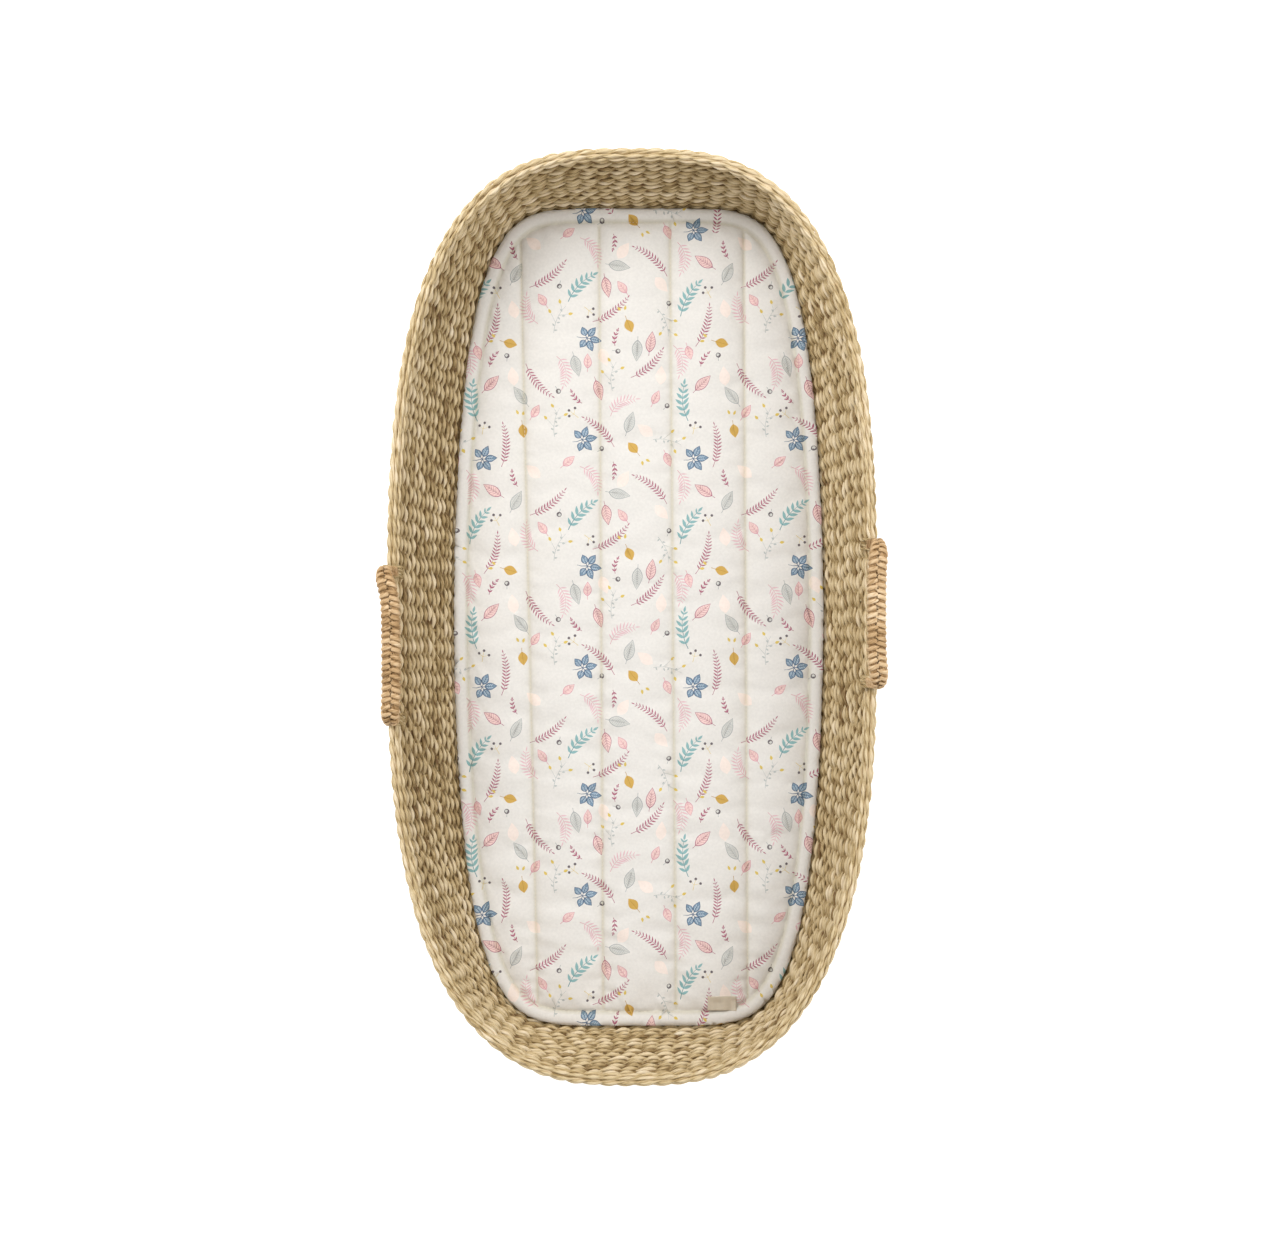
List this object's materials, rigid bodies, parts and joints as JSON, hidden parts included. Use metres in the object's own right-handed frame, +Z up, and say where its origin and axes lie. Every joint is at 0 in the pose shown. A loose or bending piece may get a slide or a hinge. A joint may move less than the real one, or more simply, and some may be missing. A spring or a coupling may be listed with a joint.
{
  "type": "moses basket",
  "caption": "Oval twined seagrass moses basket with sloping walls, two upright rope handles lashed to the rim and a loose quilted cotton mat.",
  "frame": {"origin": "middle of the footprint, on the floor that the woven base stands on", "axes": "+Y along the basket towards the head end, +Z up out of its mouth, +X across it from the left handle to the right one"},
  "size_m": [0.4263, 0.8, 0.1721],
  "materials": {
    "seagrass_wall": "woven, matt",
    "stalk": "dry stalk, matt",
    "seagrass_rim": "plaited, matt",
    "rope_core": "twisted, matt",
    "handle_wrap": "wrapped, slight sheen",
    "lashing_cord": "matt",
    "cotton_plain": "woven cotton, matt",
    "cotton_print": "printed cotton, matt",
    "wadding": "soft fibre",
    "sewing_thread": "matt",
    "label_tape": "woven tape, matt"
  },
  "bodies": {
    "basket": {"base_panel": "seagrass_wall", "base_spokes": "stalk", "stakes": "stalk", "rim_core": "stalk", "rim_border": "seagrass_rim", "wall_row_01": "seagrass_wall", "wall_row_02": "seagrass_wall", "wall_row_03": "seagrass_wall", "wall_row_04": "seagrass_wall", "wall_row_05": "seagrass_wall", "wall_row_06": "seagrass_wall", "wall_row_07": "seagrass_wall", "wall_row_08": "seagrass_wall", "wall_row_09": "seagrass_wall", "wall_row_10": "seagrass_wall", "wall_row_11": "seagrass_wall", "wall_row_12": "seagrass_wall", "wall_row_13": "seagrass_wall", "wall_row_14": "seagrass_wall", "wall_row_15": "seagrass_wall", "wall_row_16": "seagrass_wall", "wall_row_17": "seagrass_wall"},
    "handle_left": {"handle_left_core_inner": "rope_core", "handle_left_core_outer": "rope_core", "handle_left_wrap": "handle_wrap", "handle_left_lashing_front": "lashing_cord", "handle_left_lashing_back": "lashing_cord"},
    "handle_right": {"handle_right_core_inner": "rope_core", "handle_right_core_outer": "rope_core", "handle_right_wrap": "handle_wrap", "handle_right_lashing_front": "lashing_cord", "handle_right_lashing_back": "lashing_cord"},
    "mat": {"mat_cover_base": "cotton_plain", "mat_cover_top": "cotton_print", "mat_wadding_1": "wadding", "mat_wadding_2": "wadding", "mat_wadding_3": "wadding", "mat_wadding_4": "wadding", "mat_wadding_5": "wadding", "mat_edge_seam": "sewing_thread", "mat_channel_seams": "sewing_thread", "mat_label": "label_tape"}
  },
  "joints": [
    {"name": "handle_left_tilt", "type": "hinge", "parent": "basket", "child": "handle_left", "pos_m": [-0.20339, -0.024, 0.115], "axis": [0.0086, -1, 0], "range_deg": [-25, 75]},
    {"name": "handle_right_tilt", "type": "hinge", "parent": "basket", "child": "handle_right", "pos_m": [0.20368, 0.003, 0.115], "axis": [0.0004, 1, 0], "range_deg": [-25, 75]},
    {"name": "mat_lift", "type": "slide", "parent": "basket", "child": "mat", "axis": [0, 0, 1], "range_m": [0, 0.18]}
  ]
}
